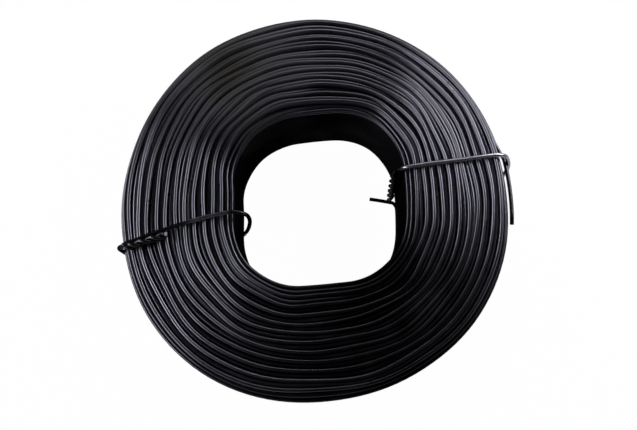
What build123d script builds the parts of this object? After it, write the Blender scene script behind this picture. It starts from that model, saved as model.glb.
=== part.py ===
from build123d import *
import math
import os

# Sizes in millimetres, angles in degrees. The coil lies on one end, its axis along +Z, and
# stands on the floor at z = 0 on the two tie wires that pass under it.

# The wire and the coil
wire_diameter = 1.22
wire_sides = 8
outside_diameter = 114.3
coil_width = 33.0
outer_rim_bevel = 3.0
inner_rim_bevel = 2.4

# The bore keeps the rounded square of the former that the coil was wound on
bore_across_flats = 50.8
bore_corner_radius = 18.8
bore_side_bow = 0.2
bore_turned = 3.5
bore_shift_x = 1.3
bore_shift_y = 0.7

# The turns that show as ridges, on both ends and on both walls
end_ridges = 6
wall_ridges = 4
ridge_height = 0.9

# How much further out than the last turn the bore's square would have become a circle
circle_margin = 0.05

# The free outer end of the wire, which springs off the wall's top ridge under the right tie
outer_end_angle = 13.0
outer_end_length = 20.0
outer_end_curve_radius = 120.0

# The free inner end of the wire, which bends off the lowest ridge of the bore's wall
inner_end_lead = 5.0
inner_end_bend_radius = 5.0
inner_end_bend_angle = 75.0
inner_end_reach = 5.5

# How deep a free end's root is buried in the winding that it is part of
root_depth = 0.15

# The ties: each is one wire round the coil's section, with its two ends twisted together
tie_clearance = 0.1
tie_outer_bend = 4.4
tie_inner_bend = 3.4
tie_bend_steps = 4
left_tie_angle = 197.2
left_tie_offset = -2.3
left_tie_slack = 4.3
left_tie_knee_drop = 18.9
right_tie_angle = 8.4
right_tie_offset = 4.4

# The twisted ends: the left pair lies on the coil's end, the right pair hangs in the bore
twist_pitch = 6.4
twist_steps_per_turn = 7
left_twist_length = 15.0
left_twist_inset = 2.2
right_twist_length = 17.0
right_twist_stand_off = 1.95
right_twist_drop = 6.5
right_twist_lean = 11.0

wire_radius = wire_diameter / 2
outer_radius = outside_diameter / 2
bore_half = bore_across_flats / 2
ring_depth = outer_radius - bore_half
coil_bottom = wire_diameter + tie_clearance
coil_top = coil_bottom + coil_width


def outline_sizes(inset):
    """Corner centre, corner radius and side centre of the turn that lies inset from the bore's flat.

    The turn is a square with bowed sides and round corners. It is the bore's own at inset 0
    and all but a circle at the outside, which it would be just beyond it.
    """
    share = inset / (ring_depth + circle_margin)
    corner_at_bore = bore_half - bore_side_bow - bore_corner_radius
    diagonal_at_bore = corner_at_bore * math.sqrt(2) + bore_corner_radius
    diagonal = diagonal_at_bore + share * (outer_radius + circle_margin - diagonal_at_bore)
    corner = corner_at_bore * (1 - share)
    corner_radius = diagonal - corner * math.sqrt(2)
    gap = bore_half + inset - corner_radius
    side_shift = (2 * corner**2 - gap**2) / (2 * (gap - corner))
    return corner, corner_radius, side_shift


def turn_outline(inset, height):
    """Closed outline of eight tangent arcs for the turn that lies inset from the bore's flat."""
    corner, corner_radius, side_shift = outline_sizes(inset)
    flat = bore_half + inset
    joint_angle = math.atan2(corner, corner + side_shift)
    joint_x = (flat + side_shift) * math.cos(joint_angle) - side_shift
    joint_y = (flat + side_shift) * math.sin(joint_angle)
    middle = corner + corner_radius / math.sqrt(2)
    side = ThreePointArc((joint_x, -joint_y), (flat, 0), (joint_x, joint_y))
    bend = ThreePointArc((joint_x, joint_y), (middle, middle), (joint_y, joint_x))
    edges = [Rot(0, 0, 90 * quarter) * edge for quarter in range(4) for edge in (side, bend)]
    centred = 1 - inset / ring_depth
    return Pos(bore_shift_x * centred, bore_shift_y * centred, height) * Rot(0, 0, bore_turned) * Wire(edges)


def ridged_side(start, end, ridges):
    """Inset and height of each foot and crest on one side of the winding's section."""
    run = Vector(*end) - Vector(*start)
    outward = run.normalized().rotate(Axis.Z, 90) * ridge_height
    for count in range(2 * ridges + 1):
        point = Vector(*start) + run * (count / (2 * ridges)) + outward * (count % 2)
        yield point.X, point.Y


def winding():
    """The wound ring: ruled strips between the outlines of its turns, round the whole section."""
    low_foot = coil_bottom + ridge_height
    high_foot = coil_top - ridge_height
    bore_foot = ridge_height
    outside_foot = ring_depth - ridge_height
    bore_ends = (bore_foot, coil_bottom + inner_rim_bevel), (bore_foot, coil_top - inner_rim_bevel)
    upper_ends = (inner_rim_bevel, high_foot), (ring_depth - outer_rim_bevel, high_foot)
    outside_ends = (outside_foot, coil_top - outer_rim_bevel), (outside_foot, coil_bottom + outer_rim_bevel)
    lower_ends = (ring_depth - outer_rim_bevel, low_foot), (inner_rim_bevel, low_foot)
    section = [
        *ridged_side(*bore_ends, wall_ridges),
        *ridged_side(*upper_ends, end_ridges),
        *ridged_side(*outside_ends, wall_ridges),
        *ridged_side(*lower_ends, end_ridges),
    ]
    outlines = [turn_outline(inset, height) for inset, height in section]
    faces = [
        face
        for pair in zip(outlines, outlines[1:] + outlines[:1])
        for face in Shell.make_loft(pair, ruled=True).faces()
    ]
    return Solid(Shell(faces))


def wire_section(route):
    """The wire's section at the start of its route, with a pair of flats across +Z."""
    start = Plane(origin=route @ 0, x_dir=(0, 0, 1), z_dir=route % 0)
    return start * Rot(0, 0, 180 / wire_sides) * RegularPolygon(wire_radius, wire_sides, major_radius=False)


def first_crest(bevel):
    """How far from the coil's end the nearest crest of a wall lies, past that wall's bevel."""
    return bevel + (coil_width - 2 * bevel) / (2 * wall_ridges)


def outer_end():
    """The wire's free outer end, on an arc that is flatter than the coil, so that it leaves the wall."""
    start_radius = outer_radius - wire_radius - root_depth
    height = coil_top - first_crest(outer_rim_bevel)
    start = Pos(0, 0, height) * Rot(0, 0, outer_end_angle) * Pos(start_radius, 0, 0)
    sweep_angle = math.degrees(outer_end_length / outer_end_curve_radius)
    arc = CenterArc((-outer_end_curve_radius, 0), outer_end_curve_radius, 0, -sweep_angle)
    return start * sweep(wire_section(arc), path=arc)


def inner_end():
    """The wire's free inner end, which runs along the bore's wall and bends into the bore."""
    start = (bore_half + wire_radius + root_depth, 0)
    lead = Line((start[0], -inner_end_lead), start)
    bend = JernArc(start, (0, 1), inner_end_bend_radius, inner_end_bend_angle)
    reach = Line(bend @ 1, (bend @ 1) + (bend % 1) * inner_end_reach)
    route = Wire([lead, bend, reach])
    height = coil_bottom + first_crest(inner_rim_bevel)
    place = Pos(bore_shift_x, bore_shift_y, height) * Rot(0, 0, bore_turned)
    return place * sweep(wire_section(route), path=route)


def wall_distances(angle, offset):
    """Where a tie's upright plane meets the bore's wall and the outside, measured along the tie."""
    side_shift = outline_sizes(0)[2]
    side_turn = bore_turned + 90 * round((angle - bore_turned) / 90)
    side_centre = Vector(-side_shift, 0, 0).rotate(Axis.Z, side_turn) + Vector(bore_shift_x, bore_shift_y, 0)
    side_centre = side_centre.rotate(Axis.Z, -angle)
    at_bore = side_centre.X + math.sqrt((bore_half + side_shift) ** 2 - (offset - side_centre.Y) ** 2)
    at_outside = math.sqrt(outer_radius**2 - offset**2)
    return at_bore, at_outside


def tie_loop(at_bore, at_outside, slack=0, knee_drop=0):
    """The tie's closed loop round the section, in an upright plane: X along the tie, Y up.

    A slack tie stands off the bore's wall at the top and runs in to it below its knee.
    Its bends are short straight runs.
    """
    stand_off = wire_radius + tie_clearance
    low = wire_radius
    high = coil_top + stand_off
    outer = at_outside + stand_off
    inner = at_bore - stand_off
    corners = [(outer, low), (outer, high), (inner - slack, high)]
    bends = [tie_outer_bend, tie_outer_bend, tie_inner_bend]
    if slack > 0:
        corners.append((inner - slack, high - knee_drop))
        bends.append(tie_inner_bend)
    corners.append((inner, low))
    bends.append(tie_inner_bend)
    smooth = FilletPolyline(*corners, radius=bends, close=True)
    route = Polyline(
        *[
            edge @ (step / tie_bend_steps)
            for edge in smooth.order_edges()
            for step in range(tie_bend_steps if edge.geom_type == GeomType.CIRCLE else 1)
        ],
        close=True,
    )
    return sweep(wire_section(route), path=route, transition=Transition.RIGHT)


def twisted_ends(length):
    """The tie's two ends twisted together along +Z, each a short run from step to step."""
    steps = round(length / twist_pitch * twist_steps_per_turn)
    route = Polyline(
        *[
            Vector(wire_radius, 0, length * step / steps).rotate(Axis.Z, 360 * step / twist_steps_per_turn)
            for step in range(steps + 1)
        ]
    )
    strand = sweep(wire_section(route), path=route, transition=Transition.RIGHT)
    return Part() + [strand, Rot(0, 0, 180) * strand]


def standing(angle, offset):
    """Turns the upright plane of a tie's loop to its place round the coil."""
    return Rot(0, 0, angle) * Pos(0, offset, 0) * Rot(90, 0, 0)


def tie_left():
    """The left tie, slack in the bore, with its twist laid back over the coil's upper end."""
    at_bore, at_outside = wall_distances(left_tie_angle, left_tie_offset)
    loop = tie_loop(at_bore, at_outside, left_tie_slack, left_tie_knee_drop)
    height = coil_top + tie_clearance + wire_diameter
    start = Pos(at_outside - left_twist_inset, left_tie_offset + wire_diameter, height)
    twist = start * Rot(0, -90, 0) * twisted_ends(left_twist_length)
    return standing(left_tie_angle, left_tie_offset) * loop + Rot(0, 0, left_tie_angle) * twist


def tie_right():
    """The right tie, with its twist pressed down inside the bore."""
    at_bore, at_outside = wall_distances(right_tie_angle, right_tie_offset)
    loop = tie_loop(at_bore, at_outside)
    start = Pos(at_bore - right_twist_stand_off, right_tie_offset, coil_top - right_twist_drop)
    twist = start * Rot(180 + right_twist_lean, 0, 0) * twisted_ends(right_twist_length)
    return standing(right_tie_angle, right_tie_offset) * loop + Rot(0, 0, right_tie_angle) * twist


pieces = {
    "wire_coil": winding() + [outer_end(), inner_end()],
    "tie_wire_left": tie_left(),
    "tie_wire_right": tie_right(),
}

os.makedirs("parts", exist_ok=True)
for name, shape in pieces.items():
    solids = shape.solids()
    print(name, len(solids), "solid", round(shape.volume, 1), "mm3", shape.bounding_box())
    export_step(solids[0] if len(solids) == 1 else shape, f"parts/{name}.step")
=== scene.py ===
import math

import bpy
import numpy as np
from mathutils import Matrix, Vector


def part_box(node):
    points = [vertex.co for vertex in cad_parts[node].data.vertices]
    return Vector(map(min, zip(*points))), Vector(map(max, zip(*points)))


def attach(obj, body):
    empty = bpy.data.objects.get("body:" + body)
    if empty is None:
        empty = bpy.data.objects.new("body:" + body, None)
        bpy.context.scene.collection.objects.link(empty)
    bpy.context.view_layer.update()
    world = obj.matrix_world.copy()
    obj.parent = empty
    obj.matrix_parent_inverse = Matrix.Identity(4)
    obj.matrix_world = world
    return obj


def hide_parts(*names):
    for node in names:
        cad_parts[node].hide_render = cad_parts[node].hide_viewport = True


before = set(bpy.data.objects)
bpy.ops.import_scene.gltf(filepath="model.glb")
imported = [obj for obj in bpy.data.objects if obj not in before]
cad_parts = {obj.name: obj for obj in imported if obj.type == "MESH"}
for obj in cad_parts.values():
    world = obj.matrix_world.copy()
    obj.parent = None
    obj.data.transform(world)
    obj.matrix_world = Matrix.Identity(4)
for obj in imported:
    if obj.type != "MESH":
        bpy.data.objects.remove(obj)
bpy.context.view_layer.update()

# Lengths are in metres and angles in radians, unless a name or a comment says otherwise

# The coil's own sizes, within a millimetre of its construction model's
WIRE_DIAMETER = 0.00122
WIRE_RADIUS = WIRE_DIAMETER / 2
OUTER_RADIUS = 0.0576
BORE_HALF = 0.0254
BORE_CORNER_RADIUS = 0.0194
BORE_TURNED = math.radians(3.5)
BORE_SHIFT_X = 0.0016
BORE_SHIFT_Y = 0.0007

# The radius by which the coil's rims are rounded, at the outside and at the bore
OUTER_SHOULDER = 0.0040
INNER_SHOULDER = 0.0045

# The bore is slightly longer one way than across, and the outside lies in shallow waves: the number
# of crests, their height and the direction of one of them
BORE_OVAL = 0.0006
BORE_OVAL_DIRECTION = math.radians(67)
OUTSIDE_WAVES = (
    (2, 0.00052, math.radians(73)),
    (3, 0.00037, math.radians(-19)),
    (4, 0.00030, math.radians(53)),
)

COIL_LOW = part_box("wire_coil")[0][2]
COIL_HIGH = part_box("wire_coil")[1][2]

# The winding: one wire, wound clockwise from above, up the first layer and down the next. Each
# turn lies level and steps up or down to the next one at about the same place round the coil.
LAYERS = 25
LAYER_PITCH = (OUTER_RADIUS - BORE_HALF) / LAYERS
TURN_PITCH = 0.00125
STEP_ANGLE = math.radians(128)
STEP_ANGLE_SPREAD = math.radians(22)
STEP_TURNS = 0.2
POINTS_PER_TURN = 128
WIRE_SIDES = 8
WINDING_SEED = 11

# The turns that are modelled: some at both ends of each layer, and all of the layers at both walls
END_DEPTH_TURNS = 2.3
BORE_LAYERS = (0, 1)
OUTSIDE_LAYERS = (LAYERS - 2, LAYERS - 1)

# Every other layer ends low and leaves a dark gap between its neighbours: the least and the most
# that a layer stops short of the coil's ends, in turn pitches
HIGH_LAYER_DROPS = (0.0, 0.12)
LOW_LAYER_DROPS = (0.65, 1.0)

# Turns stray from their places in waves round the coil. Each wave has its own share of its set's size.
# Layers at a wall keep WALL_SHARE of the waves, and 1 / WALL_SHARE_LAYERS more for each layer further
# in, up to all of them. The waves in height fade out over HEIGHT_FADE_TURNS from a layer's ends.
WAVE_SHARES = (0.4, 1.0)
WALL_SHARE = 0.2
WALL_SHARE_LAYERS = 5
HEIGHT_FADE_TURNS = 1.5

# The free outer end springs off the wall just past the right tie
OUTER_END_ANGLE = math.radians(-7.5)
OUTER_END_HEIGHT = COIL_HIGH - 0.0042
OUTER_END_LIFT = 0.0013
OUTER_END_FREE_LENGTH = 0.025
OUTER_END_RAMP = 0.0055

# The free inner end bends off the bore's wall
INNER_END_ANGLE = math.radians(5.5)
INNER_END_BEND_RADIUS = 0.002
INNER_END_BEND = math.radians(80)
INNER_END_BEND_STEPS = 12
INNER_END_REACH = 0.0075
INNER_END_REACH_STEPS = 6
INNER_END_RISE = 0.0022

# The plain core: how deep its sides lie in the coil, from both walls and from both ends
CORE_DEPTH_LAYERS = 1.9
CORE_DEPTH_TURNS = 2.6
CORE_STEPS = 96

# The ties and their twisted ends. A lifted tip's first points rise by these shares of its lift.
TIE_CLEARANCE = 0.0001
TIE_POINT_SPACING = 0.0004
TIE_SIDES = 12
TWIST_RADIUS = WIRE_RADIUS * 0.96
TWIST_PITCH = 0.0064
TWIST_POINTS_PER_TURN = 12
TIP_RISE_SHARES = (1.0, 0.5, 0.2, 0.05)

# The ties carry a painted highlight on their runs across the coil, between two distances from its
# axis, with a short ramp at each, and painted shade elsewhere, such as on the twists and in the bore
TIE_PAINTED_SHADE_TINT = -1.0
TIE_PAINTED_HIGHLIGHT_TINT = 1.6
LEFT_PAINTED_HIGHLIGHT_RUN = (0.024, 0.038)
RIGHT_PAINTED_HIGHLIGHT_RUN = (0.0265, 0.070)
HIGHLIGHT_START_RAMP = 0.002
HIGHLIGHT_STOP_RAMP = 0.004

# Painted shade on the wire: darkest on the turns next to the bore, and dark on the turns at the outside
PAINTED_BORE_SHADE_DEPTH = 0.0045
PAINTED_BORE_SHADE_TINT = 1.4
PAINTED_RIM_SHADE_DEPTH = 0.0035
PAINTED_RIM_SHADE_TINT = 1.0

# Painted shade: a patch of darker turns on the near side, right of the middle
PAINTED_SHADE_PATCH_CENTRE = (0.0155, -0.0390)
PAINTED_SHADE_PATCH_RADIUS = 0.044
PAINTED_SHADE_PATCH_TINT = 1.25

# A turn's tint makes its colour lighter or darker, by a random tone per turn and by the painted shade
# and painted highlight above. Between the two grazing tints it also brings the reflections at grazing
# angles down, to DARK_GRAZING at the lower one, so painted shade darkens them too.
SHADE_PER_TINT = 0.5
SHADE_AT_NO_TINT = 0.75
GRAZING_TINTS = (-0.3, 0.1)
DARK_GRAZING = 0.06

# Scratches are noise drawn out along the wire, and spots vary its gloss. Scales are per metre. Each
# line's scratches are moved along from those of the line before it.
SCRATCH_SCALES = (15, 1100, 1100)
SCRATCH_DETAIL = 2
SCRATCH_BUMP = 0.10
SCRATCH_DEPTH = 0.000004
SCRATCH_SHIFT = 0.37
SPOT_SCALE = 260
SPOT_DETAIL = 3
SPOT_LEVELS = (0.3, 0.7)

# The brown bloom on the wire: where it is thickest, its ragged patches, and its matt surface
BLOOM_CENTRE = (-0.026, 0.040, 0.034)
BLOOM_RADIUS = 0.034
BLOOM_PATCH_SCALE = 55
BLOOM_PATCH_DETAIL = 4
BLOOM_PATCH_GAIN = 1.2
BLOOM_PATCH_OFFSET = -0.66
BLOOM_METALLIC = 0.2
BLOOM_ROUGHNESS = 0.65

# The cut ends, with fine drag marks
CUT_DARKEST = (0.50, 0.50, 0.52)
CUT_LIGHTEST = (0.72, 0.72, 0.74)
CUT_ROUGHNESS = (0.45, 0.6)
CUT_MARK_SCALE = 2500
CUT_MARK_DETAIL = 2

# The photograph's camera, fitted to the outlines of the coil and its bore, and the pixel at which
# the middle of the coil's upper end shows
IMAGE_WIDTH = 637
IMAGE_HEIGHT = 430
CAMERA_ELEVATION = math.radians(77.0)
CAMERA_DISTANCE = 0.1861
FOCAL_PIXELS = 648.2
FACE_CENTRE_PIXEL = (314.1, 195.8)
SENSOR_MILLIMETRES = 36
CLIP_START = 0.01
CLIP_END = 200

# The floor, and the share of its look that is plain white
FLOOR_HALF = 20
FLOOR_COLOUR = (0.85, 0.85, 0.85)
FLOOR_ROUGHNESS = 0.9
FLOOR_WHITE = 0.985

# The room is white up to the first height over the horizon, as a share of straight up, and dim
# from the second one
ROOM_FADE_HEIGHTS = (0.03, 0.16)
ROOM_DIM_LEVEL = 0.012


def rounded_square_reach(angle):
    """Distance from the bore's centre to its wall in a direction, for a square with round corners."""
    folded = np.abs((angle + math.pi / 4) % (math.pi / 2) - math.pi / 4)
    centre = BORE_HALF - BORE_CORNER_RADIUS
    straight = BORE_HALF / np.cos(folded)
    along = centre * (np.cos(folded) + np.sin(folded))
    across = centre * (np.cos(folded) - np.sin(folded))
    corner = along + np.sqrt(np.maximum(BORE_CORNER_RADIUS**2 - across**2, 0.0))
    return np.where(straight * np.sin(folded) <= centre, straight, corner)


def wall_point(angle, share):
    """A point between the bore's wall, at share 0, and the outside, at share 1."""
    oval = BORE_OVAL * np.cos(2 * (angle - BORE_OVAL_DIRECTION))
    at_bore = rounded_square_reach(angle - BORE_TURNED) + oval
    waves = sum(height * np.cos(crests * (angle - crest)) for crests, height, crest in OUTSIDE_WAVES)
    reach = (1 - share) * at_bore + share * (OUTER_RADIUS + waves)
    x = reach * np.cos(angle) + (1 - share) * BORE_SHIFT_X
    y = reach * np.sin(angle) + (1 - share) * BORE_SHIFT_Y
    return x, y


def smooth_step(value):
    """0 to 1 with a gentle start and end."""
    value = np.clip(value, 0.0, 1.0)
    return value * value * (3 - 2 * value)


def shoulder_drop(depth, radius):
    """How far a turn lies below the end's level where it is nearer to a wall than the rim's radius."""
    inside = min(max(radius - depth, 0.0), radius)
    return radius - math.sqrt(radius**2 - inside**2)


class Waves:
    """Seeded waves round the coil that drift from layer to layer, as wound wire lies unevenly."""

    def __init__(self, seed, orders, size, drift):
        draws = np.random.RandomState(seed)
        self.orders = orders
        self.sizes = size * draws.uniform(*WAVE_SHARES, len(orders)) / math.sqrt(len(orders))
        self.phases = draws.uniform(0, 2 * math.pi, len(orders))
        self.drifts = draws.uniform(-drift, drift, len(orders))

    def at(self, angle, depth):
        """The waves' sum at an angle round the coil and at a depth counted in layers."""
        total = np.zeros_like(angle)
        for order, size, phase, drift in zip(self.orders, self.sizes, self.phases, self.drifts):
            total += size * np.cos(order * angle + phase + drift * depth)
        return total


# Long and short waves outwards and inwards, and waves up and down
RADIAL_WAVES = Waves(WINDING_SEED, orders=(2, 3, 5, 7, 9, 13), size=0.00040, drift=0.55)
RADIAL_JITTER = Waves(WINDING_SEED + 1, orders=(3, 5, 8, 11), size=0.00026, drift=1.6)
HEIGHT_WAVES = Waves(WINDING_SEED + 2, orders=(1, 2, 3), size=0.00060, drift=2.3)


def turn_share(start, end):
    """The part of a turn from one angle clockwise to another."""
    return (start - end) % (2 * math.pi) / (2 * math.pi)


def layer_plans():
    """Each layer's place in the section, its heights, its turns and the angles of its steps."""
    draws = np.random.RandomState(WINDING_SEED + 3)
    plans = []
    for layer in range(LAYERS):
        rising = layer % 2 == 0
        least, most = HIGH_LAYER_DROPS if rising else LOW_LAYER_DROPS
        drop = shoulder_drop((LAYERS - layer - 0.5) * LAYER_PITCH, OUTER_SHOULDER)
        drop += shoulder_drop((layer + 0.5) * LAYER_PITCH, INNER_SHOULDER)
        drop += TURN_PITCH * draws.uniform(least, most)
        low = COIL_LOW + WIRE_RADIUS + drop
        high = OUTER_END_HEIGHT if layer == LAYERS - 1 else COIL_HIGH - WIRE_RADIUS - drop
        plans.append({
            "share": (layer + 0.5) / LAYERS,
            "rows": 1 + round((high - low) / TURN_PITCH),
            "begin": low if rising else high,
            "end": high if rising else low,
            "rising": rising,
        })
    start = INNER_END_ANGLE
    for layer, plan in enumerate(plans):
        end = STEP_ANGLE + draws.uniform(-STEP_ANGLE_SPREAD, STEP_ANGLE_SPREAD)
        plan["start"] = start
        plan["first_step"] = turn_share(start, end) if layer == 0 else 1
        if layer == 0:
            plan["turns"] = plan["rows"] - 1 + plan["first_step"]
        elif layer == LAYERS - 1:
            plan["turns"] = plan["rows"] - 1 + turn_share(start, OUTER_END_ANGLE)
        else:
            plan["turns"] = plan["rows"] + (start - end) / (2 * math.pi)
        start = end
    return plans


def stepped_level(plan, turn):
    """How far the wire has come from its layer's first height to its last, with a step in each turn."""
    passed = np.round(turn - plan["first_step"])
    level = passed + smooth_step((turn - plan["first_step"] - passed) / STEP_TURNS + 0.5)
    return np.clip(level, 0, plan["rows"] - 1) / (plan["rows"] - 1)


def layer_points(plans, layer, first, last):
    """The wire's centre line in a layer, from one turn count to another within it."""
    plan = plans[layer]
    turn = np.linspace(first, last, round((last - first) * POINTS_PER_TURN) + 1)
    angle = plan["start"] - 2 * math.pi * turn
    inner_layer = 0 < layer < LAYERS - 1
    level = stepped_level(plan, turn * plan["rows"] / plan["turns"] if inner_layer else turn)
    height = plan["begin"] + level * (plan["end"] - plan["begin"])
    share = np.full_like(turn, plan["share"])
    if layer > 0:
        arriving = 1 - smooth_step(0.5 + turn / STEP_TURNS)
        share -= arriving / LAYERS
        height += arriving * (plans[layer - 1]["end"] - plan["begin"])
    if layer < LAYERS - 1:
        leaving = smooth_step(0.5 + (turn - plan["turns"]) / STEP_TURNS)
        share += leaving / LAYERS
        height += leaving * (plans[layer + 1]["begin"] - plan["end"])
    x, y = wall_point(angle, share)
    depth = share * LAYERS
    calm = np.minimum(1.0, WALL_SHARE + np.minimum(depth, LAYERS - depth) / WALL_SHARE_LAYERS)
    push = calm * (RADIAL_WAVES.at(angle, depth) + RADIAL_JITTER.at(angle, depth))
    near_end = np.exp(-np.minimum(turn, plan["turns"] - turn) / HEIGHT_FADE_TURNS)
    height = height + calm * near_end * HEIGHT_WAVES.at(angle, depth)
    height = np.clip(height, COIL_LOW + WIRE_RADIUS, COIL_HIGH - WIRE_RADIUS)
    if layer == LAYERS - 1:
        to_tip = (plan["turns"] - turn) * 2 * math.pi * OUTER_RADIUS
        push = push + OUTER_END_LIFT * smooth_step((OUTER_END_FREE_LENGTH - to_tip) / OUTER_END_RAMP)
    points = np.stack((x + push * np.cos(angle), y + push * np.sin(angle), height), axis=1)
    if layer == 0 and first == 0:
        points = np.concatenate((inner_end(points), points))
    return points


def inner_end(points):
    """The wire's free inner end, from its tip to the first turn on the bore's wall."""
    back = points[0] - points[1]
    back = back / np.linalg.norm(back)
    inward = np.array((-back[1], back[0], 0.0))
    bends = np.linspace(0, INNER_END_BEND, INNER_END_BEND_STEPS + 1)[1:, None]
    arc = points[0] + INNER_END_BEND_RADIUS * (np.sin(bends) * back + (1 - np.cos(bends)) * inward)
    ahead = math.cos(INNER_END_BEND) * back + math.sin(INNER_END_BEND) * inward
    reach = arc[-1] + np.linspace(0, INNER_END_REACH, INNER_END_REACH_STEPS + 1)[1:, None] * ahead
    line = np.concatenate((arc, reach))
    line[:, 2] += INNER_END_RISE * smooth_step(np.linspace(0, 1, len(line)))
    return line[::-1]


def tube(points, radius, sides, upright):
    """Vertices, walls, caps and wire coordinates of a round tube with flat caps along a line of points."""
    points = np.asarray(points, dtype=float)
    tangent = np.gradient(points, axis=0)
    tangent /= np.linalg.norm(tangent, axis=1, keepdims=True)
    side = np.cross(tangent, (0.0, 0.0, 1.0)) if upright else carried_sides(tangent)
    side /= np.linalg.norm(side, axis=1, keepdims=True)
    up = np.cross(side, tangent)
    turn = np.linspace(0, 2 * math.pi, sides, endpoint=False)
    ring = side[:, None, :] * np.cos(turn)[None, :, None] + up[:, None, :] * np.sin(turn)[None, :, None]
    vertices = (points[:, None, :] + radius * ring).reshape(-1, 3)
    count = len(points)
    row = np.arange(count - 1)[:, None] * sides
    start = (row + np.arange(sides)[None, :]).ravel()
    after = (row + (np.arange(sides)[None, :] + 1) % sides).ravel()
    walls = np.stack((start, start + sides, after + sides, after), axis=1).tolist()
    caps = [list(range(sides)), list(range((count - 1) * sides, count * sides))[::-1]]
    steps = np.linalg.norm(np.diff(points, axis=0), axis=1)
    along = np.concatenate(([0.0], np.cumsum(steps)))
    across = np.tile(radius * np.cos(turn), count)
    above = np.tile(radius * np.sin(turn), count)
    return vertices, walls, caps, np.stack((np.repeat(along, sides), across, above), axis=1)


def carried_sides(tangent):
    """A side direction for each point that turns as little as possible along the line."""
    any_direction = (0.3, 0.5, 0.8)
    side = np.cross(tangent[0], any_direction)
    sides = []
    for direction in tangent:
        side = side - direction * np.dot(side, direction)
        side = side / np.linalg.norm(side)
        sides.append(side)
    return np.array(sides)


def new_object(name, data):
    """A new object in the scene."""
    item = bpy.data.objects.new(name, data)
    bpy.context.scene.collection.objects.link(item)
    return item


def wire_piece(name, lines, materials, tints, sides=WIRE_SIDES, upright=True):
    """One object from several tubes. Caps take the second material."""
    vertices, faces, cap_flags, coords, tint_values = [], [], [], [], []
    base = 0
    for index, (line, tint) in enumerate(zip(lines, tints)):
        tube_vertices, walls, caps, tube_coords = tube(line, WIRE_RADIUS, sides, upright)
        vertices.append(tube_vertices)
        faces += [[corner + base for corner in face] for face in walls + caps]
        cap_flags += [0] * len(walls) + [1] * len(caps)
        tube_coords[:, 0] += SCRATCH_SHIFT * index
        coords.append(tube_coords)
        tint_values.append(np.repeat(tint, sides))
        base += len(tube_vertices)
    mesh = bpy.data.meshes.new(name)
    mesh.from_pydata(np.concatenate(vertices).tolist(), [], faces)
    for material in materials:
        mesh.materials.append(material)
    mesh.polygons.foreach_set("material_index", cap_flags)
    mesh.polygons.foreach_set("use_smooth", [flag == 0 for flag in cap_flags])
    attribute = mesh.attributes.new("wire_coords", "FLOAT_VECTOR", "POINT")
    attribute.data.foreach_set("vector", np.concatenate(coords).ravel())
    attribute = mesh.attributes.new("turn_tint", "FLOAT", "POINT")
    attribute.data.foreach_set("value", np.concatenate(tint_values))
    mesh.update()
    return new_object(name, mesh)


def turn_tints(line, tint):
    """A turn's tint point by point, darkened by painted shade near the bore, the outside and a patch."""
    x, y = line[:, 0] - BORE_SHIFT_X, line[:, 1] - BORE_SHIFT_Y
    from_bore = np.hypot(x, y) - rounded_square_reach(np.arctan2(y, x) - BORE_TURNED)
    from_outside = OUTER_RADIUS - np.hypot(line[:, 0], line[:, 1])
    # Painted shade: the turns darken next to the bore, at the outside and in the patch on the near side
    painted_bore_shade = 1 - smooth_step(from_bore / PAINTED_BORE_SHADE_DEPTH)
    painted_rim_shade = 1 - smooth_step(from_outside / PAINTED_RIM_SHADE_DEPTH)
    from_patch = np.hypot(line[:, 0] - PAINTED_SHADE_PATCH_CENTRE[0], line[:, 1] - PAINTED_SHADE_PATCH_CENTRE[1])
    painted_shade_patch = 1 - smooth_step(from_patch / PAINTED_SHADE_PATCH_RADIUS)
    return tint - PAINTED_BORE_SHADE_TINT * painted_bore_shade - PAINTED_RIM_SHADE_TINT * painted_rim_shade - PAINTED_SHADE_PATCH_TINT * painted_shade_patch


def tie_tints(line, highlight_from, highlight_to):
    """A tie's tint: painted highlight between two distances from the coil's axis, painted shade elsewhere.
    """
    from_axis = np.hypot(line[:, 0], line[:, 1])
    light = smooth_step((from_axis - highlight_from) / HIGHLIGHT_START_RAMP)
    light = light * smooth_step((highlight_to - from_axis) / HIGHLIGHT_STOP_RAMP)
    return TIE_PAINTED_SHADE_TINT + (TIE_PAINTED_HIGHLIGHT_TINT - TIE_PAINTED_SHADE_TINT) * light


def winding_lines():
    """The centre lines of the winding's visible turns, for each piece of it."""
    plans = layer_plans()
    names = ("winding_upper_end", "winding_lower_end", "winding_bore_wall", "winding_outer_wall")
    groups = {name: [] for name in names}
    crossing = None
    for layer, plan in enumerate(plans):
        turns = plan["turns"]
        here, there = ("lower", "upper") if plan["rising"] else ("upper", "lower")
        wall_start, wall_stop = END_DEPTH_TURNS, turns - END_DEPTH_TURNS
        if layer in BORE_LAYERS and plan["rising"]:
            wall_start = 0
        else:
            onward = layer_points(plans, layer, 0, END_DEPTH_TURNS)
            if crossing is not None:
                onward = np.concatenate((crossing, onward[1:]))
            groups[f"winding_{here}_end"].append(onward)
        if layer in BORE_LAYERS and not plan["rising"]:
            wall_stop = turns
            crossing = None
        else:
            crossing = layer_points(plans, layer, turns - END_DEPTH_TURNS, turns)
        if layer in BORE_LAYERS:
            groups["winding_bore_wall"].append(layer_points(plans, layer, wall_start, wall_stop))
        elif layer in OUTSIDE_LAYERS:
            groups["winding_outer_wall"].append(layer_points(plans, layer, wall_start, wall_stop))
    # The last turns run on to the wire's outer end
    groups[f"winding_{there}_end"].append(crossing)
    return groups


def winding_pieces(materials):
    """The winding's visible turns: both ends to a depth of a few turns, and the skins of both walls."""
    draws = np.random.RandomState(WINDING_SEED + 4)
    pieces = []
    for name, lines in winding_lines().items():
        tints = [turn_tints(line, tint) for line, tint in zip(lines, draws.uniform(0, 1, len(lines)))]
        pieces.append(wire_piece(name, lines, materials[name], tints))
    return pieces


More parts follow.
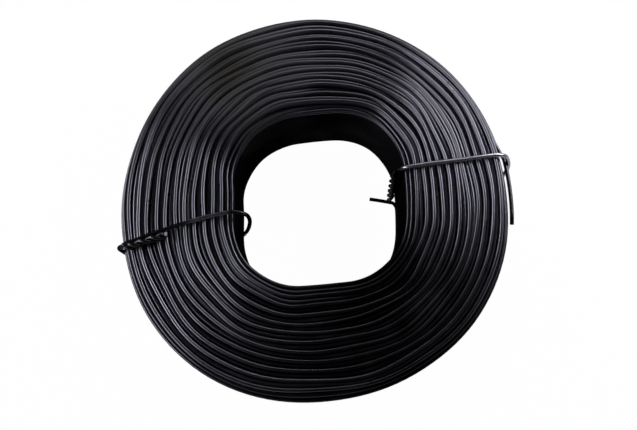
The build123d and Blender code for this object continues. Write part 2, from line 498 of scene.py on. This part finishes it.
def core_piece(material):
    """The hidden turns inside the ring as one closed ring just under the modelled turns, in painted shade.
    """
    angles = np.linspace(0, 2 * math.pi, CORE_STEPS, endpoint=False)
    inner_share = CORE_DEPTH_LAYERS / LAYERS
    outer_share = 1 - CORE_DEPTH_LAYERS / LAYERS
    low = COIL_LOW + CORE_DEPTH_TURNS * TURN_PITCH
    high = COIL_HIGH - CORE_DEPTH_TURNS * TURN_PITCH
    corners = [(inner_share, low), (outer_share, low), (outer_share, high), (inner_share, high)]
    vertices = []
    for share, height in corners:
        x, y = wall_point(angles, share)
        vertices += np.stack((x, y, np.full_like(x, height)), axis=1).tolist()
    faces = []
    for corner in range(len(corners)):
        here, there = corner * CORE_STEPS, (corner + 1) % len(corners) * CORE_STEPS
        for step in range(CORE_STEPS):
            after = (step + 1) % CORE_STEPS
            faces.append([here + step, here + after, there + after, there + step])
    mesh = bpy.data.meshes.new("winding_core")
    mesh.from_pydata(vertices, [], faces)
    mesh.materials.append(material)
    return new_object("winding_core", mesh)


def smooth_route(points):
    """An even line of points on the curve through a few given points."""
    points = np.asarray(points, dtype=float)
    padded = np.concatenate(([2 * points[0] - points[1]], points, [2 * points[-1] - points[-2]]))
    route = []
    for before, here, there, beyond in zip(padded, padded[1:], padded[2:], padded[3:]):
        gap = np.linalg.norm(there - here)
        enter = (there - before) * gap / (np.linalg.norm(here - before) + gap)
        leave = (beyond - here) * gap / (np.linalg.norm(beyond - there) + gap)
        t = np.linspace(0, 1, max(2, round(gap / TIE_POINT_SPACING)), endpoint=False)[:, None]
        route.append((2 * t**3 - 3 * t**2 + 1) * here + (t**3 - 2 * t**2 + t) * enter
                     + (3 * t**2 - 2 * t**3) * there + (t**3 - t**2) * leave)
    return np.concatenate(route + [points[-1:]])


def twist_points(tip, root, phase):
    """One strand of a pair of twisted ends, from its tip to its root round the line between them."""
    tip, root = np.asarray(tip, dtype=float), np.asarray(root, dtype=float)
    axis = root - tip
    length = np.linalg.norm(axis)
    axis = axis / length
    side = np.cross(axis, (0.0, 1.0, 0.0))
    side = side / np.linalg.norm(side)
    other = np.cross(axis, side)
    turns = length / TWIST_PITCH
    along = np.linspace(0, 1, round(turns * TWIST_POINTS_PER_TURN) + 1)[:, None]
    angle = phase + 2 * math.pi * turns * (along - 1)
    return tip + along * (root - tip) + TWIST_RADIUS * (np.cos(angle) * side + np.sin(angle) * other)


def tie_line(angle, tip, root, first_phase, tip_rise, loop):
    """A tie's wire from one cut end, through the twist, round the coil and back through the twist.

    Points are given as distance along the tie's direction, distance across it, and height.
    """
    strand = twist_points(tip, root, first_phase)
    strand[:len(TIP_RISE_SHARES), 2] += tip_rise * np.array(TIP_RISE_SHARES)
    other = twist_points(tip, root, first_phase + math.pi)
    route = smooth_route(np.concatenate((strand[-1:], loop, other[-1:])))
    local = np.concatenate((strand, route[1:-1], other[::-1]))
    local[:, 2] = np.maximum(local[:, 2], WIRE_RADIUS)
    along, across = local[:, 0:1], local[:, 1:2]
    forward = np.array((math.cos(angle), math.sin(angle)))
    sideways = np.array((-math.sin(angle), math.cos(angle)))
    return np.concatenate((along * forward + across * sideways, local[:, 2:]), axis=1)


def left_tie_line():
    """The left tie: its twist lies on the coil's face, and it hangs slack in the bore."""
    top = COIL_HIGH + WIRE_RADIUS + TIE_CLEARANCE
    across = -0.0023
    out = 0.0579
    twist_across = across + 0.0012
    loop = np.array((
        (0.0554, twist_across - 0.0003, top + 0.0002),
        (0.0567, across + 0.0003, top - 0.0011),
        (0.0576, across + 0.0001, top - 0.0034),
        (out, across, top - 0.0070),
        (out, across, 0.0065),
        (out - 0.0012, across, 0.0022),
        (out - 0.0042, across, WIRE_RADIUS),
        (0.0430, across, WIRE_RADIUS),
        (0.0292, across, WIRE_RADIUS),
        (0.0256, across, 0.0011),
        (0.0239, across + 0.0003, 0.0032),
        (0.0232, across + 0.0010, 0.0080),
        (0.0227, across + 0.0024, 0.0145),
        (0.0217, across + 0.0034, 0.0210),
        (0.0206, across + 0.0034, 0.0258),
        (0.0198, across + 0.0027, 0.0297),
        (0.0200, across + 0.0018, 0.0328),
        (0.0214, across + 0.0010, top - 0.0005),
        (0.0240, across, top),
        (0.0330, across - 0.0007, top),
        (0.0440, across - 0.0006, top),
        (0.0518, across - 0.0001, top),
        (0.0546, across + 0.0001, top + 0.0002),
        (0.0554, across + 0.0006, top + 0.0009),
    ))
    height = COIL_HIGH + WIRE_DIAMETER + TIE_CLEARANCE
    tip = (0.0430, twist_across - 0.0001, height)
    root = (0.0540, twist_across + 0.0001, height)
    angle, first_phase = math.radians(197.2), math.radians(250)
    return tie_line(angle, tip, root, first_phase, tip_rise=0.0006, loop=loop)


def right_tie_line():
    """The right tie: its twist is pushed down in the bore, and it leans over the outer end."""
    top = COIL_HIGH + WIRE_RADIUS + TIE_CLEARANCE
    across = 0.0045
    loop = np.array((
        (0.0253, across + 0.0010, 0.0293),
        (0.0259, across + 0.0006, top - 0.0034),
        (0.0273, across + 0.0002, top - 0.0012),
        (0.0300, across, top - 0.0002),
        (0.0340, across, top),
        (0.0440, across - 0.0002, top),
        (0.0540, across - 0.0003, top),
        (0.0568, across - 0.0007, top - 0.0009),
        (0.0580, across - 0.0014, top - 0.0028),
        (0.0587, across - 0.0026, top - 0.0055),
        (0.0589, across - 0.0034, top - 0.0105),
        (0.0587, across - 0.0040, 0.0150),
        (0.0584, across - 0.0038, 0.0060),
        (0.0570, across - 0.0036, 0.0020),
        (0.0538, across - 0.0030, WIRE_RADIUS),
        (0.0420, across - 0.0010, WIRE_RADIUS),
        (0.0312, across, WIRE_RADIUS),
        (0.0280, across, 0.0014),
        (0.0263, across, 0.0045),
        (0.0259, across, 0.0140),
        (0.0258, across + 0.0006, 0.0240),
        (0.0254, across + 0.0010, 0.0282),
    ))
    tip = (0.0249, across - 0.0030, 0.0108)
    root = (0.0250, across + 0.0006, 0.0270)
    angle, first_phase = math.radians(8.4), math.radians(60)
    return tie_line(angle, tip, root, first_phase, tip_rise=0.0, loop=loop)


class Nodes:
    """Short ways to fill a node tree. An input takes a plain value or the output of another node."""

    def __init__(self, owner):
        owner.use_nodes = True
        self.tree = owner.node_tree

    def fill(self, node, inputs):
        """Sets or links some of a node's inputs."""
        for key, source in inputs.items():
            if isinstance(source, bpy.types.NodeSocket):
                self.tree.links.new(source, node.inputs[key])
            else:
                node.inputs[key].default_value = source

    def add(self, kind, output, inputs, **settings):
        """Adds a node and gives one of its outputs."""
        node = self.tree.nodes.new(kind)
        for key, value in settings.items():
            setattr(node, key, value)
        self.fill(node, inputs)
        return node.outputs[output]

    def noise(self, place, scale, detail):
        """Smooth noise at a place, about 0 to 1."""
        return self.add("ShaderNodeTexNoise", "Fac", {"Vector": place, "Scale": scale, "Detail": detail})

    def calculate(self, operation, *values, **settings):
        """A sum, a product or another result of numbers."""
        return self.add("ShaderNodeMath", "Value", dict(enumerate(values)), operation=operation, **settings)

    def remap(self, value, old, new, **settings):
        """A value moved from an old span to a new one and kept inside it."""
        spans = {"From Min": old[0], "From Max": old[1], "To Min": new[0], "To Max": new[1]}
        return self.add("ShaderNodeMapRange", "Result", {"Value": value, **spans}, **settings)

    def mix(self, kind, share, first, second, **settings):
        """A mix of two colours or numbers: the first at share 0, the second at share 1."""
        inputs = {"Factor": share, "A": first, "B": second}
        return self.add("ShaderNodeMix", "Result", inputs, data_type=kind, **settings)

    def rays(self, first, *others):
        """1 for rays of any of these kinds, and 0 for all others."""
        seen = self.add("ShaderNodeLightPath", first, {})
        for kind in others:
            seen = self.calculate("MAXIMUM", seen, self.add("ShaderNodeLightPath", kind, {}))
        return seen


def bloom_mask(nodes, place):
    """How much brown bloom covers the scale: most round one place, with ragged patches of it."""
    from_centre = {0: place, 1: BLOOM_CENTRE}
    distance = nodes.add("ShaderNodeVectorMath", "Value", from_centre, operation="DISTANCE")
    near = nodes.remap(distance, (BLOOM_RADIUS, 0.0), (0.0, 1.0), interpolation_type="SMOOTHSTEP")
    patches = nodes.noise(place, BLOOM_PATCH_SCALE, BLOOM_PATCH_DETAIL)
    patches = nodes.calculate("MULTIPLY_ADD", patches, BLOOM_PATCH_GAIN, BLOOM_PATCH_OFFSET)
    return nodes.calculate("ADD", near, patches, use_clamp=True)


def wire_material(name, darkest, lightest, brown, roughness):
    """Black annealed steel: dark scale with fine drawn scratches and a matt brown bloom in places."""
    material = bpy.data.materials.new(name)
    nodes = Nodes(material)
    place = nodes.add("ShaderNodeTexCoord", "Object", {})
    coords = nodes.add("ShaderNodeAttribute", "Vector", {}, attribute_name="wire_coords")
    tint = nodes.add("ShaderNodeAttribute", "Fac", {}, attribute_name="turn_tint")
    drawn_out = nodes.add("ShaderNodeMapping", "Vector", {"Vector": coords, "Scale": SCRATCH_SCALES})
    scratches = nodes.noise(drawn_out, 1, SCRATCH_DETAIL)
    bloom = bloom_mask(nodes, place)

    scale = nodes.mix("RGBA", scratches, (*darkest, 1), (*lightest, 1))
    # The tint lightens or darkens colour and grazing reflections: random tone, painted shade and highlight
    shade = nodes.calculate("MULTIPLY_ADD", tint, SHADE_PER_TINT, SHADE_AT_NO_TINT)
    shaded = nodes.mix("RGBA", 1, scale, shade, blend_type="MULTIPLY")
    satin = nodes.remap(nodes.noise(place, SPOT_SCALE, SPOT_DETAIL), SPOT_LEVELS, roughness)
    grooves = {"Strength": SCRATCH_BUMP, "Distance": SCRATCH_DEPTH, "Height": scratches}
    nodes.fill(nodes.tree.nodes["Principled BSDF"], {
        "Base Color": nodes.mix("RGBA", bloom, shaded, (*brown, 1)),
        "Metallic": nodes.mix("FLOAT", bloom, 1.0, BLOOM_METALLIC),
        "Roughness": nodes.mix("FLOAT", bloom, satin, BLOOM_ROUGHNESS),
        "Specular Tint": nodes.remap(tint, GRAZING_TINTS, (DARK_GRAZING, 1.0)),
        "Normal": nodes.add("ShaderNodeBump", "Normal", grooves),
    })
    return material


def cut_steel_material():
    """The bright steel of an end that pliers cut, with fine drag marks."""
    material = bpy.data.materials.new("cut_steel")
    nodes = Nodes(material)
    marks = nodes.noise(nodes.add("ShaderNodeTexCoord", "Object", {}), CUT_MARK_SCALE, CUT_MARK_DETAIL)
    nodes.fill(nodes.tree.nodes["Principled BSDF"], {
        "Base Color": nodes.mix("RGBA", marks, (*CUT_DARKEST, 1), (*CUT_LIGHTEST, 1)),
        "Metallic": 1.0,
        "Roughness": nodes.remap(marks, (0.0, 1.0), CUT_ROUGHNESS),
    })
    return material


def camera():
    """The photograph's view: from above and a little in front."""
    data = bpy.data.cameras.new("camera")
    data.sensor_fit = "HORIZONTAL"
    data.sensor_width = SENSOR_MILLIMETRES
    data.lens = SENSOR_MILLIMETRES * FOCAL_PIXELS / IMAGE_WIDTH
    data.clip_start = CLIP_START
    data.clip_end = CLIP_END
    eye = new_object("camera", data)
    up = Vector((0, math.sin(CAMERA_ELEVATION), math.cos(CAMERA_ELEVATION)))
    back = Vector((0, -math.cos(CAMERA_ELEVATION), math.sin(CAMERA_ELEVATION)))
    right = up.cross(back)
    aside = (FACE_CENTRE_PIXEL[0] - IMAGE_WIDTH / 2) / FOCAL_PIXELS * CAMERA_DISTANCE
    below = (FACE_CENTRE_PIXEL[1] - IMAGE_HEIGHT / 2) / FOCAL_PIXELS * CAMERA_DISTANCE
    target = Vector((0, 0, COIL_HIGH)) - right * aside + up * below
    turn = Matrix((right, up, back)).transposed()
    eye.matrix_world = Matrix.Translation(target + back * CAMERA_DISTANCE) @ turn.to_4x4()
    bpy.context.scene.camera = eye


def strip_light(name, azimuth, elevation, distance, width, height, power):
    """A long low soft box that faces the coil, its direction given in degrees."""
    data = bpy.data.lights.new(name, "AREA")
    data.shape = "RECTANGLE"
    data.size = width
    data.size_y = height
    data.energy = power
    light = new_object(name, data)
    azimuth, elevation = math.radians(azimuth), math.radians(elevation)
    away = Vector((
        math.cos(azimuth) * math.cos(elevation),
        math.sin(azimuth) * math.cos(elevation),
        math.sin(elevation),
    ))
    light.location = away * distance
    light.rotation_euler = away.to_track_quat("Z", "Y").to_euler()


def floor_material():
    """Pale and matt under shadows, and white where it is seen, also in reflections."""
    material = bpy.data.materials.new("floor")
    nodes = Nodes(material)
    shader = nodes.tree.nodes["Principled BSDF"]
    nodes.fill(shader, {
        "Base Color": (*FLOOR_COLOUR, 1),
        "Roughness": FLOOR_ROUGHNESS,
        "Specular IOR Level": 0.0,
    })
    seen = nodes.rays("Is Camera Ray", "Is Glossy Ray", "Is Transmission Ray")
    surface = nodes.add("ShaderNodeMixShader", "Shader", {
        "Fac": nodes.calculate("MULTIPLY", seen, FLOOR_WHITE),
        1: shader.outputs["BSDF"],
        2: nodes.add("ShaderNodeEmission", "Emission", {}),
    })
    nodes.fill(nodes.tree.nodes["Material Output"], {"Surface": surface})
    return material


def floor():
    """A pale floor that shows white and keeps a soft shadow."""
    mesh = bpy.data.meshes.new("floor")
    corners = [(x * FLOOR_HALF, y * FLOOR_HALF, 0) for x, y in ((-1, -1), (1, -1), (1, 1), (-1, 1))]
    mesh.from_pydata(corners, [], [(0, 1, 2, 3)])
    mesh.materials.append(floor_material())
    piece = new_object("floor", mesh)


def studio_world():
    """A dim room whose walls turn white towards the floor's horizon, seen against white."""
    world = bpy.data.worlds.new("studio")
    bpy.context.scene.world = world
    nodes = Nodes(world)
    direction = nodes.add("ShaderNodeTexCoord", "Generated", {})
    height = nodes.add("ShaderNodeSeparateXYZ", "Z", {"Vector": direction})
    level = nodes.remap(height, ROOM_FADE_HEIGHTS, (1.0, ROOM_DIM_LEVEL))
    seen = nodes.rays("Is Camera Ray", "Is Transmission Ray")
    nodes.fill(nodes.tree.nodes["Background"], {
        "Color": (1, 1, 1, 1),
        "Strength": nodes.calculate("MAXIMUM", level, seen),
    })


wire = wire_material(
    "annealed_wire",
    darkest=(0.098, 0.096, 0.118),
    lightest=(0.125, 0.123, 0.148),
    brown=(0.015, 0.013, 0.0118),
    roughness=(0.27, 0.32),
)
# A lighter copy of the wire for the ties, as a painted highlight on them
tie_wire = wire_material(
    "tie_wire",
    darkest=(0.140, 0.138, 0.160),
    lightest=(0.175, 0.173, 0.200),
    brown=(0.040, 0.036, 0.033),
    roughness=(0.26, 0.32),
)
# A nearly black copy of the wire, as painted shade on the bore's wall and on the core between the turns
painted_shade_wire = wire_material(
    "annealed_wire_painted_shade",
    darkest=(0.006, 0.006, 0.007),
    lightest=(0.012, 0.012, 0.014),
    brown=(0.006, 0.005, 0.005),
    roughness=(0.50, 0.60),
)
cut_steel = cut_steel_material()

coil_pieces = winding_pieces({
    "winding_upper_end": [wire, wire],
    "winding_lower_end": [wire, wire],
    "winding_bore_wall": [painted_shade_wire, painted_shade_wire],
    "winding_outer_wall": [wire, wire],
})
coil_pieces.append(core_piece(painted_shade_wire))
for piece in coil_pieces:
    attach(piece, "root")
    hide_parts("wire_coil")

ties = (
    ("tie_wire_left", left_tie_line(), LEFT_PAINTED_HIGHLIGHT_RUN),
    ("tie_wire_right", right_tie_line(), RIGHT_PAINTED_HIGHLIGHT_RUN),
)
for name, line, highlight_run in ties:
    tints = tie_tints(line, *highlight_run)
    piece = wire_piece(name + "_wire", [line], [tie_wire, cut_steel], [tints], TIE_SIDES, upright=False)
    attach(piece, "root")
    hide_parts(name)

camera()
floor()
studio_world()
strip_light("light_right", azimuth=36, elevation=38, distance=0.17, width=0.125, height=0.038, power=0.20)
strip_light("light_left", azimuth=186, elevation=34, distance=0.7, width=0.85, height=0.20, power=4.7)
strip_light("light_back", azimuth=86, elevation=48, distance=0.15, width=0.07, height=0.025, power=0.024)
bpy.context.scene.view_settings.view_transform = "Standard"
